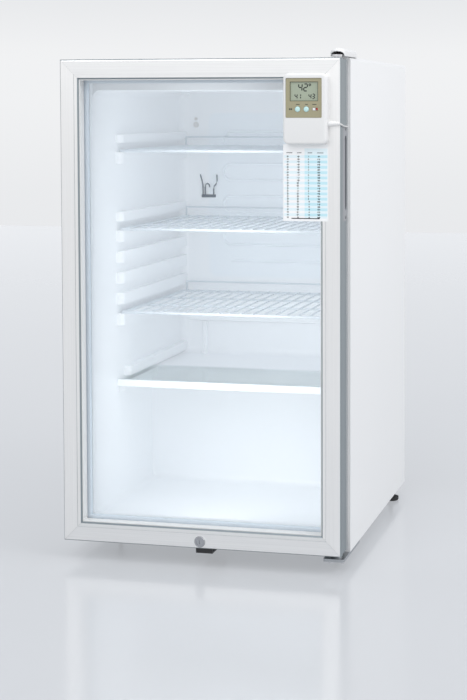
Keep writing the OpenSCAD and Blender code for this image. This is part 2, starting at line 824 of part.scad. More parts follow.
// A rectangular ring parallel to the door's face, between two insets from its edge.
module door_ring(outer, inner, y0, y1) {
    along_y(y0, y1) difference() {
        translate([-door_half_w + outer, door_z0 + outer])
            square([2 * (door_half_w - outer), door_h - 2 * outer]);
        translate([-door_half_w + inner, door_z0 + inner])
            square([2 * (door_half_w - inner), door_h - 2 * inner]);
    }
}

module spacer_bar() {
    color("lightsteelblue") in_cabinet()
        door_ring(seat_w + 3, seat_w + 14.5, pane_y + pane_t, pane_y + pane_t + pane_gap);
}

module glazing_bead() {
    color("white") in_cabinet() door_ring(face_w, face_w + 1.5, door_front + 3, pane_y);
}

module inner_retainer() {
    color("white") in_cabinet() difference() {
        door_ring(seat_w, 40, pane_y + unit_t, door_back);
        box([203, 212], [-15, -11], [725.5, 730.5]);
    }
}

gasket_in = [15.5, 34.5];

module door_gasket() {
    color("white") in_cabinet() difference() {
        union() {
            door_ring(gasket_in[0] + 2, gasket_in[1] - 2, door_back, -4.2);
            door_ring(gasket_in[0], gasket_in[1], -8, -0.4);
        }
        door_ring(gasket_in[0] - 1, gasket_in[0] + 1.2, -6.2, -4.6);
        box([200, 240], [-12.1, -8.9], [726.2, 729.8]);
    }
}

module hinge_bushes() {
    color("ivory") in_cabinet() for (z = [door_z0, door_z1 - pin_reach])
        translate([hinge_x, hinge_y, z]) difference() {
            cylinder(r = bush_r, h = pin_reach);
            translate([0, 0, -1]) cylinder(r = pin_d / 2 + fine, h = pin_reach + 2);
        }
}

grip_screw_y = door_front + 36;
grip_screw_zs = [grip_z[0] - 12, grip_z[1] + 11];

// Grip insert on the left edge: a flange in the edge channel and a cup behind the slot.
module grip() {
    x0 = -door_half_w;
    v0 = door_front + grip_v[0];
    v1 = door_front + grip_v[1];
    difference() {
        union() {
            box([x0, x0 + channel_in], [door_front + channel_v[0] + 1, door_front + channel_v[1] - 1],
                [grip_z[0] - 18, grip_z[1] + 16]);
            box([x0 + channel_in, x0 + grip_in + grip_wall], [v0 - grip_wall, v1 + grip_wall],
                [grip_z[0] - grip_wall, grip_z[1] + grip_wall]);
        }
        grip_slot(x0, v0, v1);
        for (z = grip_screw_zs) translate([x0 - 1, grip_screw_y, z]) rotate([0, 90, 0])
            cylinder(r = 1.5, h = 3, $fn = 24);
    }
}

module grip_slot(x0, v0, v1) {
    half = (v1 - v0) / 2;
    mid = (v0 + v1) / 2;
    box([x0 - 1, x0 + grip_in], [v0, v1], [grip_z[0] + half, grip_z[1] - half]);
    for (z = [grip_z[0] + half, grip_z[1] - half]) translate([x0 - 1, mid, z]) rotate([0, 90, 0])
        cylinder(r = half, h = grip_in + 1);
}

module left_grip() {
    color("gainsboro") in_cabinet() grip();
}

module right_grip() {
    color("gainsboro") in_cabinet() mirror([1, 0, 0]) grip();
}

module grip_screws() {
    color("dimgray") in_cabinet() both_sides() for (z = grip_screw_zs)
        translate([-door_half_w, grip_screw_y, z]) rotate([0, -90, 0]) {
            cylinder(r = 2.6, h = 0.9, $fn = 32);
            translate([0, 0, -7]) cylinder(r = 1.5, h = 7, $fn = 24);
        }
}

// ---------- lock ----------

plug_r = 5.5;

module lock_housing() {
    color("lightgray") in_cabinet() translate([0, door_front, lock_z]) rotate([90, 0, 0]) difference() {
        union() {
            cylinder(r1 = 9.8, r2 = 8.6, h = 2.2);
            translate([0, 0, -lock_len]) cylinder(r = 9, h = lock_len);
        }
        translate([0, 0, -lock_len - 1]) cylinder(r = plug_r + fine, h = lock_len + 5);
    }
}

module lock_plug() {
    color("silver") in_cabinet() translate([0, door_front, lock_z]) rotate([90, 0, 0]) difference() {
        translate([0, 0, -cam_v[0]]) cylinder(r = plug_r, h = cam_v[0] + 1.6);
        translate([-0.7, -3.2, 0]) cube([1.4, 6.4, 3]);
        translate([0, 0, -cam_v[0] - 1]) cylinder(r = 2, h = 6, $fn = 24);
    }
}

module lock_cam() {
    y = [door_front + cam_v[0], door_front + cam_v[1]];
    color("gray") in_cabinet() {
        along_y(y[0], y[1]) {
            translate([0, lock_z]) circle(6.2);
            translate([0, lock_z - 4.5]) square([cam_len, 9]);
        }
        translate([0, y[0] + 0.5, lock_z]) rotate([90, 0, 0]) cylinder(r = 2, h = 5, $fn = 24);
    }
}

// ---------- thermometer on the door ----------

case_front = door_front - case_t;
bezel_front = case_front + 1.4;
bezel_t = 1.6;

module thermometer_case() {
    color("white") in_cabinet() difference() {
        union() {
            along_y(case_front + 3, door_front) round_rect(case_x, case_z, case_r);
            along_y(case_front, case_front + 3)
                round_rect([case_x[0] + 1.4, case_x[1] - 1.4], [case_z[0] + 1.4, case_z[1] - 1.4], case_r - 1);
            translate([case_x[1] - 3, -67.2, 733]) rotate([0, 90, 0]) cylinder(r1 = 5, r2 = 2.6, h = 20);
        }
        along_y(case_front - 1, bezel_front + bezel_t) round_rect(bezel_x, bezel_z, 1.5);
        box([screen_x[0] - 1, screen_x[1] + 1], [bezel_front, bezel_front + bezel_t + 3],
            [screen_z[0] - 1, screen_z[1] + 1]);
        for (x = button_xs) translate([x, case_front + 9.5, button_z]) rotate([90, 0, 0])
            cylinder(r = button_r + 0.4, h = 8);
        box([switch_x - 4.6, switch_x + 8.2], [bezel_front, case_front + 8], [button_z - 3, button_z + 3]);
        translate([case_x[1] + 9, -67.2, 733]) rotate([0, 90, 0]) cylinder(r = cable_r + 0.1, h = 12, $fn = 24);
    }
}

module thermometer_bezel() {
    color("#a69c7a") in_cabinet() difference() {
        along_y(bezel_front, bezel_front + bezel_t) round_rect(bezel_x, bezel_z, 1.5);
        box(screen_x, [case_front, case_front + 6], screen_z);
        for (x = button_xs) translate([x, case_front + 6, button_z]) rotate([90, 0, 0])
            cylinder(r = button_r + 0.35, h = 8);
        box([switch_x - 2.6, switch_x + 6.2], [case_front, case_front + 6], [button_z - 2.4, button_z + 2.4]);
    }
}

module thermometer_display() {
    color("#a9b79f") in_cabinet()
        box([screen_x[0] - 1, screen_x[1] + 1], [bezel_front + bezel_t, bezel_front + bezel_t + 3],
            [screen_z[0] - 1, screen_z[1] + 1]);
}

module button(x) {
    color("#a8dcd8") in_cabinet() translate([x, case_front + 7.5, button_z]) rotate([90, 0, 0]) {
        cylinder(r = button_r, h = 6.6);
        translate([0, 0, 6.6]) cylinder(r1 = button_r, r2 = button_r - 0.7, h = 0.7);
    }
}

module button_left() { button(button_xs[0]); }
module button_right() { button(button_xs[1]); }

module mode_switch() {
    color("white") in_cabinet() {
        box([switch_x - 2.2, switch_x + 2.2], [case_front + 0.6, case_front + 4], [button_z - 2, button_z + 2]);
        box([switch_x - 3.8, switch_x + 3.8], [case_front + 4, case_front + 6.5], [button_z - 2.6, button_z + 2.6]);
    }
}

module conversion_card() {
    color("white") in_cabinet() box([149, 225.4], [door_front - 0.6, door_front], [571, case_z[0]]);
}

module probe_cable() {
    color("white") in_cabinet() swept_tube(cable_route, cable_r, 8);
}

module door_probe() {
    color("white") in_cabinet() translate([196, -21.5, 0]) {
        translate([0, 0, 688]) cylinder(r = 2.6, h = 31.2);
        translate([0, 0, 686]) cylinder(r1 = 1.4, r2 = 2.6, h = 2);
        box([-7, 7], [-3.5, 1], [698, 706]);
    }
}

// ---------- shelves ----------

module wire_shelf(z) {
    zc = z + rail_d / 2;
    r = rail_d / 2;
    wr = wire_d / 2;
    top = zc + r;
    corners = [[-shelf_half_w, shelf_front, zc], [shelf_half_w, shelf_front, zc],
        [shelf_half_w, shelf_rear, zc], [-shelf_half_w, shelf_rear, zc]];
    guard_x = 196;
    color("white") in_cabinet() {
        for (i = [0:3]) {
            rod(corners[i], corners[(i + 1) % 4], r);
            translate(corners[i]) sphere(r, $fn = 24);
        }
        for (y = [shelf_front + 116, shelf_front + 232])
            rod([-shelf_half_w, y, zc - 0.4], [shelf_half_w, y, zc - 0.4], 2);
        for (i = [-9:9]) {
            rod([i * wire_pitch, shelf_front, top - 0.3], [i * wire_pitch, shelf_rear, top - 0.3], wr);
        }
        bent_rod([[-guard_x, shelf_rear, zc], [-guard_x, shelf_rear, zc + guard_h],
            [guard_x, shelf_rear, zc + guard_h], [guard_x, shelf_rear, zc]], 1.8);
    }
}

module wire_shelf_top() { wire_shelf(top_shelf_z); }
module wire_shelf_middle() { wire_shelf(mid_shelf_z); }
module wire_shelf_bottom() { wire_shelf(low_shelf_z); }

module glass_shelf() {
    color("paleturquoise", 0.5) in_cabinet() box([-209, 209], [trim_y + 3, glass_back], [glass_z, glass_z + 4]);
}

module glass_shelf_trim() {
    color("white") in_cabinet() difference() {
        along_x(-211, 211) round_rect([trim_y, trim_y + 9], [249.5, 261.5], 2);
        box([-209, 209], [trim_y + 3, trim_y + 10], [glass_z, glass_z + 4]);
    }
}

outer_wrap();
back_panel();
cabinet_screws();
base_pan();
foam_insulation();
inner_liner();
evaporator_plate();
drip_gutter();
drain_tube();
sensor_clip();
wall_plug();
thermostat_housing();
lamp_lens();
thermostat_knob();
light_switch();
compressor();
compressor_mounts();
electrical_boxes();
condenser_coil();
refrigerant_pipes();
evaporation_pan();
top_hinge_plate();
hinge_cover();
bottom_hinge_plate();
hinge_pins();
lock_strike();
foot_front_left();
foot_front_right();
foot_rear_left();
foot_rear_right();
door_top_rail();
door_bottom_rail();
door_left_stile();
door_right_stile();
glass_panes();
spacer_bar();
glazing_bead();
inner_retainer();
door_gasket();
hinge_bushes();
left_grip();
right_grip();
grip_screws();
lock_housing();
lock_plug();
lock_cam();
thermometer_case();
thermometer_bezel();
thermometer_display();
button_left();
button_right();
mode_switch();
conversion_card();
probe_cable();
door_probe();
wire_shelf_top();
wire_shelf_middle();
wire_shelf_bottom();
glass_shelf();
glass_shelf_trim();
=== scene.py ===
import bpy
import numpy as np
from math import radians
from mathutils import Euler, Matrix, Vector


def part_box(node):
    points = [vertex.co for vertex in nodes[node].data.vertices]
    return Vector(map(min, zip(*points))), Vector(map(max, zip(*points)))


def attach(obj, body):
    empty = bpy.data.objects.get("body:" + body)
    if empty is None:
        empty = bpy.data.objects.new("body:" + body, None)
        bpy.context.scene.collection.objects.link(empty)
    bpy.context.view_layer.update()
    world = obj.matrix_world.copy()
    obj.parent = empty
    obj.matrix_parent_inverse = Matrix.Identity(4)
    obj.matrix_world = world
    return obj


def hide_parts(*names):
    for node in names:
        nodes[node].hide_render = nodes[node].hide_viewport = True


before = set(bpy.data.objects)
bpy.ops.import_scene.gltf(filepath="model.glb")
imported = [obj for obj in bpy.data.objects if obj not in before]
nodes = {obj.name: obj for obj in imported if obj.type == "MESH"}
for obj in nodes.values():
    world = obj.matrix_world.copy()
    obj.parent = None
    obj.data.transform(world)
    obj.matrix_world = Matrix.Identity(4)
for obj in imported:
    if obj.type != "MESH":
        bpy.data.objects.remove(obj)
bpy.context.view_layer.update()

mm = 0.001
print("frame loaded,", len(nodes), "parts")


# camera, lights and floor

camera = {"place": (0.807, -2.777, 0.779), "turn": 12.73, "dip": 3.14,
          "lens": 79.7, "shift": (-0.15, -0.22)}


def addCamera(c):
    data = bpy.data.cameras.new("studioCamera")
    data.lens = c["lens"]
    data.sensor_width = 36
    data.shift_x, data.shift_y = c["shift"]
    data.clip_start, data.clip_end = 0.05, 60
    obj = bpy.data.objects.new("studioCamera", data)
    obj.location = c["place"]
    obj.rotation_euler = Euler((radians(90 - c["dip"]), 0, radians(c["turn"])))
    bpy.context.scene.collection.objects.link(obj)
    bpy.context.scene.camera = obj


studio = {
    "key": {"place": (-0.7, -3.3, 2.6), "aim": (0, 0, 0.45), "size": (2.4, 2.4),
            "watts": 44, "colour": (1, 0.995, 0.985)},
    "fill": {"place": (3.2, -1.0, 2.5), "aim": (0, 0, 0.6), "size": (2.2, 2.2),
             "watts": 54, "colour": (1, 1, 1)},
    "top": {"place": (0.2, -0.3, 3.2), "aim": (0, 0, 0), "size": (2.6, 2.6),
            "watts": 24, "colour": (1, 1, 1)},
    "cabin": {"place": (0, -0.243, 0.45), "aim": (0, 1, 0.45), "size": (0.14, 0.66),
              "watts": 0.70, "colour": (0.97, 0.99, 1)},
}
# brightness of the room by the sine of the height angle
surroundings = {"tint": (1.2, 1.12, 1.0),
                "steps": [(-1.0, 0.5), (-0.077, 0.84), (-0.051, 0.85), (-0.022, 0.875), (0.007, 0.895),
                          (0.036, 0.90), (0.07, 0.84), (0.25, 0.64), (1.0, 0.54)]}
floorLook = {"half": 7.0, "points": 9,
             "paint": {"colour": (0.308, 0.316, 0.329), "vary": 0.01, "scale": 40, "rough": (0.12, 0.17),
                       "bump": 0.02, "glow": 1.0, "sheen": 0.3}}


def addLight(name, s):
    data = bpy.data.lights.new(name, "AREA")
    data.energy = s["watts"]
    data.shape = "RECTANGLE"
    data.size, data.size_y = s["size"]
    data.color = s["colour"]
    obj = bpy.data.objects.new(name, data)
    obj.location = s["place"]
    aim = np.array(s["aim"]) - np.array(s["place"])
    tilt = np.arctan2(np.hypot(aim[0], aim[1]), -aim[2])
    obj.rotation_euler = Euler((tilt, 0, np.arctan2(aim[1], aim[0]) - np.pi / 2))
    obj.visible_camera = False
    bpy.context.scene.collection.objects.link(obj)


def brightnessRamp(tree, value, steps, tint):
    # piecewise straight line through the steps, read at value
    # each channel is the level to the power of its tint, so the darker parts turn bluer
    lo, hi = steps[0][0], steps[-1][0]
    span = tree.nodes.new("ShaderNodeMapRange")
    span.inputs["From Min"].default_value, span.inputs["From Max"].default_value = lo, hi
    tree.links.new(value, span.inputs["Value"])
    ramp = tree.nodes.new("ShaderNodeValToRGB")
    marks = ramp.color_ramp.elements
    for at, level in steps:
        edge = {lo: marks[0], hi: marks[len(marks) - 1]}
        mark = edge[at] if at in edge else marks.new((at - lo) / (hi - lo))
        mark.color = (*(level ** c for c in tint), 1)
    tree.links.new(span.outputs["Result"], ramp.inputs["Fac"])
    return ramp.outputs["Color"]


def addSurroundings(s):
    world = bpy.data.worlds.new("paleRoom")
    world.use_nodes = True
    tree = world.node_tree
    sky = tree.nodes["Background"]
    coord = tree.nodes.new("ShaderNodeTexCoord")
    part = tree.nodes.new("ShaderNodeSeparateXYZ")
    tree.links.new(coord.outputs["Generated"], part.inputs[0])
    tree.links.new(brightnessRamp(tree, part.outputs["Z"], s["steps"], s["tint"]), sky.inputs["Color"])
    bpy.context.scene.world = world


# shapes from arrays

def gridQuads(rows, cols, loopRows=False, loopCols=False):
    # quads of a rows x cols grid of points, closed round either way where asked
    r = np.arange(rows if loopRows else rows - 1)[:, None]
    c = np.arange(cols if loopCols else cols - 1)[None, :]
    r2, c2 = (r + 1) % rows, (c + 1) % cols
    quads = np.stack([r * cols + c, r * cols + c2, r2 * cols + c2, r2 * cols + c], axis=-1)
    return quads.reshape(-1, 4)


def makePiece(name, points, faces, material, body, smooth=True):
    mesh = bpy.data.meshes.new(name)
    points = np.asarray(points, dtype=float).reshape(-1, 3)
    mesh.from_pydata(points.tolist(), [], [list(map(int, f)) for f in faces])
    mesh.validate()
    mesh.update()
    mesh.polygons.foreach_set("use_smooth", np.full(len(mesh.polygons), smooth))
    mesh.materials.append(material)
    obj = bpy.data.objects.new(name, mesh)
    bpy.context.scene.collection.objects.link(obj)
    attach(obj, body)
    return obj


def slabs(centres, sizes):
    # corner points and faces of many boxes at once: centre plus or minus half of size along each axis
    centres, sizes = np.broadcast_arrays(np.asarray(centres, float), np.asarray(sizes, float))
    signs = np.array([[x, y, z] for x in (-1, 1) for y in (-1, 1) for z in (-1, 1)])
    points = centres[:, None, :] + 0.5 * signs[None] * sizes[:, None, :]
    one = np.array([[0, 1, 3, 2], [4, 6, 7, 5], [0, 4, 5, 1], [2, 3, 7, 6], [0, 2, 6, 4], [1, 5, 7, 3]])
    faces = (one[None] + 8 * np.arange(len(centres))[:, None, None]).reshape(-1, 4)
    return points.reshape(-1, 3), faces


def tubePoints(path, radius, sides, lean=(1, -1, 1)):
    # circle of given radius about each point of the path, square to the path's direction there
    path = np.asarray(path, float)
    ahead = np.gradient(path, axis=0)
    ahead /= np.linalg.norm(ahead, axis=1)[:, None]
    side = np.cross(ahead, np.asarray(lean, float))
    side /= np.linalg.norm(side, axis=1)[:, None]
    up = np.cross(side, ahead)
    a = np.linspace(0, 2 * np.pi, sides, endpoint=False)
    r = np.broadcast_to(np.asarray(radius, float), (len(path),))[:, None, None]
    ring = np.cos(a)[None, :, None] * side[:, None] + np.sin(a)[None, :, None] * up[:, None]
    return path[:, None] + r * ring


def softRoute(points, rounds=3):
    # rounds the corners of a route: each corner is cut at a quarter and three quarters of its sides
    p = np.asarray(points, float)
    for _ in range(rounds):
        q, r = 0.75 * p[:-1] + 0.25 * p[1:], 0.25 * p[:-1] + 0.75 * p[1:]
        p = np.concatenate([p[:1], np.stack([q, r], 1).reshape(-1, 3), p[-1:]])
    return p


def tube(name, path, radius, sides, material, body):
    rings = tubePoints(path, radius, sides)
    n = len(rings)
    faces = gridQuads(n, sides, loopCols=True).tolist()
    faces += [list(range(sides))[::-1], [(n - 1) * sides + k for k in range(sides)]]
    return makePiece(name, rings, faces, material, body)


# finishes

# painted shade: faces that count as sides get the darker side colour
sideEdge = 0.86    # a face counts as a side when its normal has less of y than this


def baseMaterial(name):
    m = bpy.data.materials.new(name)
    m.use_nodes = True
    return m, m.node_tree, m.node_tree.nodes["Principled BSDF"]


def finish(name, f):
    # noise on Object coordinates varies the colour between two shades, the roughness between two values,
    # and raises a fine bump; "grain" stretches it, "scale" sizes it, and the side colour paints shade: a
    # darker colour on faces turned from y
    m, tree, bsdf = baseMaterial(name)
    coord = tree.nodes.new("ShaderNodeTexCoord")
    place = tree.nodes.new("ShaderNodeMapping")
    place.inputs["Scale"].default_value = f.get("grain", (1, 1, 1))
    tree.links.new(coord.outputs["Object"], place.inputs["Vector"])
    fine = tree.nodes.new("ShaderNodeTexNoise")
    fine.inputs["Scale"].default_value = f.get("scale", 300)
    fine.inputs["Detail"].default_value = 4
    tree.links.new(place.outputs["Vector"], fine.inputs["Vector"])
    broad = tree.nodes.new("ShaderNodeTexNoise")
    broad.inputs["Scale"].default_value = f.get("broad", 5)
    broad.inputs["Detail"].default_value = 3
    broadFrom = place.outputs["Vector"] if "grain" in f else coord.outputs["Object"]
    tree.links.new(broadFrom, broad.inputs["Vector"])
    shade = tree.nodes.new("ShaderNodeMix")
    shade.data_type = "RGBA"
    c = np.array(f["colour"])
    v = f.get("vary", 0.03)
    shade.inputs["A"].default_value = (*np.clip(c * (1 - v), 0, 1), 1)
    shade.inputs["B"].default_value = (*np.clip(c * (1 + v), 0, 1), 1)
    tree.links.new(broad.outputs["Fac"], shade.inputs["Factor"])
    tint = shade.outputs["Result"]
    # painted shade: faces turned away from y get a darker colour, standing for the shade on the frame's
    # sides, rounded edges and groove walls
    if "paintedSideShade" in f:
        lie = tree.nodes.new("ShaderNodeNewGeometry")
        part = tree.nodes.new("ShaderNodeSeparateXYZ")
        tree.links.new(lie.outputs["Normal"], part.inputs[0])
        front = tree.nodes.new("ShaderNodeMath")
        front.operation = "ABSOLUTE"
        tree.links.new(part.outputs["Y"], front.inputs[0])
        side = tree.nodes.new("ShaderNodeMath")
        side.operation = "LESS_THAN"
        side.inputs[1].default_value = sideEdge
        tree.links.new(front.outputs[0], side.inputs[0])
        pick = tree.nodes.new("ShaderNodeMix")
        pick.data_type = "RGBA"
        pick.inputs["B"].default_value = (*f["paintedSideShade"], 1)
        tree.links.new(side.outputs[0], pick.inputs["Factor"])
        tree.links.new(tint, pick.inputs["A"])
        tint = pick.outputs["Result"]
    tree.links.new(tint, bsdf.inputs["Base Color"])
    rough = tree.nodes.new("ShaderNodeMapRange")
    rough.inputs["To Min"].default_value, rough.inputs["To Max"].default_value = f.get("rough", (0.3, 0.4))
    tree.links.new(fine.outputs["Fac"], rough.inputs["Value"])
    tree.links.new(rough.outputs["Result"], bsdf.inputs["Roughness"])
    bump = tree.nodes.new("ShaderNodeBump")
    bump.inputs["Strength"].default_value = f.get("bump", 0.1)
    bump.inputs["Distance"].default_value = f.get("height", 0.0002)
    tree.links.new(fine.outputs["Fac"], bump.inputs["Height"])
    tree.links.new(bump.outputs["Normal"], bsdf.inputs["Normal"])
    for socket, key in (("Metallic", "metal"), ("Coat Weight", "coat"), ("Anisotropic", "brushed"),
                        ("Specular IOR Level", "sheen"), ("Emission Strength", "glow")):
        if key in f:
            bsdf.inputs[socket].default_value = f[key]
    # painted light: glow makes the liner, cold plate, shelf trim and spacer bar give off their own colour
    # though they are no lamps; on the floor it brightens the floor evenly
    if "glow" in f:
        bsdf.inputs["Emission Color"].default_value = (*f["colour"], 1)
    m.diffuse_color = (*f["colour"], 1)
    return m


finishes = {
    "whiteEnamel": {"colour": (0.90, 0.90, 0.90), "vary": 0.012, "scale": 420,
                    "rough": (0.3, 0.42), "bump": 0.12, "coat": 0.25},
    # painted light: the glow of the liner, cold plate and shelf trim brightens them though they are no lamps
    "linerPlastic": {"colour": (0.885, 0.905, 0.93), "glow": 0.10, "vary": 0.015, "scale": 250,
                     "rough": (0.28, 0.4), "bump": 0.06},
    "coldPlate": {"colour": (0.85, 0.89, 0.93), "glow": 0.10, "vary": 0.02, "scale": 160,
                  "rough": (0.35, 0.5), "bump": 0.12},
    "shelfTrim": {"colour": (0.90, 0.93, 0.95), "glow": 0.22, "vary": 0.015, "scale": 600,
                  "rough": (0.3, 0.42), "bump": 0.08},
    "hingeGrey": {"colour": (0.42, 0.44, 0.46), "vary": 0.1, "broad": 60, "scale": 200,
                  "rough": (0.35, 0.5), "bump": 0.08, "metal": 0.9},
    "whitePlastic": {"colour": (0.80, 0.80, 0.795), "vary": 0.015, "scale": 600,
                     "rough": (0.3, 0.42), "bump": 0.08},
    "coatedWire": {"colour": (0.76, 0.81, 0.86), "vary": 0.02, "scale": 500,
                   "rough": (0.25, 0.35), "bump": 0.1, "coat": 0.4},
    "zincSheet": {"colour": (0.62, 0.64, 0.66), "vary": 0.1, "broad": 60, "scale": 90,
                  "rough": (0.35, 0.55), "bump": 0.05, "metal": 0.9},
    "brightSteel": {"colour": (0.75, 0.75, 0.76), "vary": 0.05, "scale": 800,
                    "rough": (0.16, 0.3), "bump": 0.05, "metal": 1.0},
    "lockChrome": {"colour": (0.42, 0.43, 0.45), "vary": 0.05, "scale": 700,
                   "rough": (0.14, 0.26), "bump": 0.05, "metal": 1.0},
    "dullScrew": {"colour": (0.3, 0.3, 0.31), "vary": 0.1, "scale": 900,
                  "rough": (0.35, 0.5), "bump": 0.1, "metal": 0.9},
    "blackPaint": {"colour": (0.02, 0.02, 0.022), "vary": 0.2, "scale": 300,
                   "rough": (0.3, 0.45), "bump": 0.15, "coat": 0.2},
    "blackPlastic": {"colour": (0.035, 0.035, 0.038), "vary": 0.15, "scale": 500,
                     "rough": (0.5, 0.65), "bump": 0.2},
    "rubberFoot": {"colour": (0.03, 0.03, 0.032), "vary": 0.2, "scale": 400,
                   "rough": (0.6, 0.8), "bump": 0.25},
    "dullCopper": {"colour": (0.62, 0.33, 0.2), "vary": 0.18, "broad": 40, "scale": 300,
                   "rough": (0.3, 0.5), "bump": 0.08, "metal": 1.0},
    "foamBlock": {"colour": (0.8, 0.7, 0.42), "vary": 0.1, "broad": 30, "scale": 220,
                  "rough": (0.8, 0.95), "bump": 0.5},
    "gasketRubber": {"colour": (0.80, 0.82, 0.83), "vary": 0.03, "scale": 300,
                     "rough": (0.5, 0.62), "bump": 0.12},
    "bushNylon": {"colour": (0.82, 0.8, 0.72), "vary": 0.03, "scale": 500,
                  "rough": (0.4, 0.5), "bump": 0.1},
    "gripPlastic": {"colour": (0.30, 0.31, 0.33), "vary": 0.04, "scale": 700,
                    "rough": (0.35, 0.48), "bump": 0.15},
    # painted light: the spacer bar's glow brightens it though it is no lamp
    "spacerMetal": {"colour": (0.78, 0.85, 0.92), "glow": 0.05, "vary": 0.04, "scale": 300,
                    "rough": (0.4, 0.5), "bump": 0.05, "metal": 0.2},
    "clipPlastic": {"colour": (0.12, 0.15, 0.19), "vary": 0.1, "scale": 600,
                    "rough": (0.3, 0.4), "bump": 0.1},
    "lampLens": {"colour": (0.9, 0.88, 0.8), "vary": 0.02, "scale": 350, "rough": (0.2, 0.35), "bump": 0.2},
    "bezelFilm": {"colour": (0.36, 0.33, 0.21), "vary": 0.03, "scale": 900,
                  "rough": (0.3, 0.42), "bump": 0.1},
    "displayGlass": {"colour": (0.36, 0.41, 0.31), "vary": 0.03, "scale": 300,
                     "rough": (0.16, 0.22), "bump": 0.02, "coat": 0.5},
    "displayInk": {"colour": (0.012, 0.016, 0.014), "vary": 0.05, "scale": 300,
                   "rough": (0.35, 0.45), "bump": 0.02},
    "tealButton": {"colour": (0.55, 0.80, 0.78), "vary": 0.03, "scale": 700,
                   "rough": (0.3, 0.4), "bump": 0.08},
    "cardPaper": {"colour": (0.95, 0.955, 0.96), "vary": 0.012, "scale": 900,
                  "rough": (0.45, 0.6), "bump": 0.12},
    "cardBlue": {"colour": (0.56, 0.82, 0.90), "vary": 0.03, "scale": 900,
                 "rough": (0.45, 0.6), "bump": 0.1},
    "cardInk": {"colour": (0.015, 0.017, 0.022), "vary": 0.1, "scale": 900,
                "rough": (0.45, 0.6), "bump": 0.1},
    "filmInk": {"colour": (0.04, 0.05, 0.035), "vary": 0.05, "scale": 700,
                "rough": (0.35, 0.5), "bump": 0.05},
    "cardPale": {"colour": (0.80, 0.91, 0.95), "vary": 0.02, "scale": 900,
                 "rough": (0.45, 0.6), "bump": 0.1},
    "redMark": {"colour": (0.62, 0.05, 0.04), "vary": 0.05, "scale": 700,
                "rough": (0.35, 0.5), "bump": 0.1},
    "cableSheath": {"colour": (0.66, 0.66, 0.65), "vary": 0.02, "scale": 700,
                    "rough": (0.35, 0.5), "bump": 0.1},
    # painted shade: the frame metals darken their sides, rounded edges and grooves with the side colour
    "railMetal": {"colour": (0.88, 0.88, 0.875), "paintedSideShade": (0.30, 0.34, 0.36),
                  "vary": 0.07, "broad": 12, "scale": 60, "grain": (0.35, 40, 40),
                  "rough": (0.3, 0.42), "bump": 0.05,
                  "metal": 0.92, "brushed": 0.4},
    "stileMetal": {"colour": (0.93, 0.925, 0.915), "paintedSideShade": (0.30, 0.34, 0.36),
                   "vary": 0.06, "broad": 12, "scale": 60, "grain": (40, 40, 0.35),
                   "rough": (0.3, 0.42), "bump": 0.05,
                   "metal": 0.92, "brushed": 0.4},
}
looks = {name: finish(name, f) for name, f in finishes.items()}
print("finishes made,", len(looks))

paneLook = {"tint": (0.992, 0.996, 0.998), "mirror": (0.03, 1.0)}


def clearGlass(name, g):
    # see-through by a Transparent shader, with a mirror layer that grows at grazing angles
    m, tree, bsdf = baseMaterial(name)
    tree.nodes.remove(bsdf)
    coord = tree.nodes.new("ShaderNodeTexCoord")
    wave = tree.nodes.new("ShaderNodeTexNoise")
    wave.inputs["Scale"].default_value = 2.5
    tree.links.new(coord.outputs["Object"], wave.inputs["Vector"])
    bump = tree.nodes.new("ShaderNodeBump")
    bump.inputs["Strength"].default_value = 0.04
    bump.inputs["Distance"].default_value = 0.001
    tree.links.new(wave.outputs["Fac"], bump.inputs["Height"])
    clear = tree.nodes.new("ShaderNodeBsdfTransparent")
    clear.inputs["Color"].default_value = (*g["tint"], 1)
    mirror = tree.nodes.new("ShaderNodeBsdfGlossy")
    mirror.inputs["Roughness"].default_value = 0.03
    mirror.inputs["Color"].default_value = (0.95, 0.97, 0.97, 1)
    tree.links.new(bump.outputs["Normal"], mirror.inputs["Normal"])
    slant = tree.nodes.new("ShaderNodeLayerWeight")
    slant.inputs["Blend"].default_value = 0.5
    steep = tree.nodes.new("ShaderNodeMath")
    steep.operation = "POWER"
    steep.inputs[1].default_value = 5
    tree.links.new(slant.outputs["Facing"], steep.inputs[0])
    share = tree.nodes.new("ShaderNodeMapRange")
    share.inputs["To Min"].default_value, share.inputs["To Max"].default_value = g["mirror"]
    tree.links.new(steep.outputs[0], share.inputs["Value"])
    mix = tree.nodes.new("ShaderNodeMixShader")
    tree.links.new(share.outputs["Result"], mix.inputs[0])
    tree.links.new(clear.outputs[0], mix.inputs[1])
    tree.links.new(mirror.outputs[0], mix.inputs[2])
    tree.links.new(mix.outputs[0], tree.nodes["Material Output"].inputs["Surface"])
    return m


looks["paneGlass"] = clearGlass("paneGlass", paneLook)
looks["shelfGlass"] = clearGlass("shelfGlass", {"tint": (0.965, 0.99, 0.993), "mirror": (0.04, 0.6)})

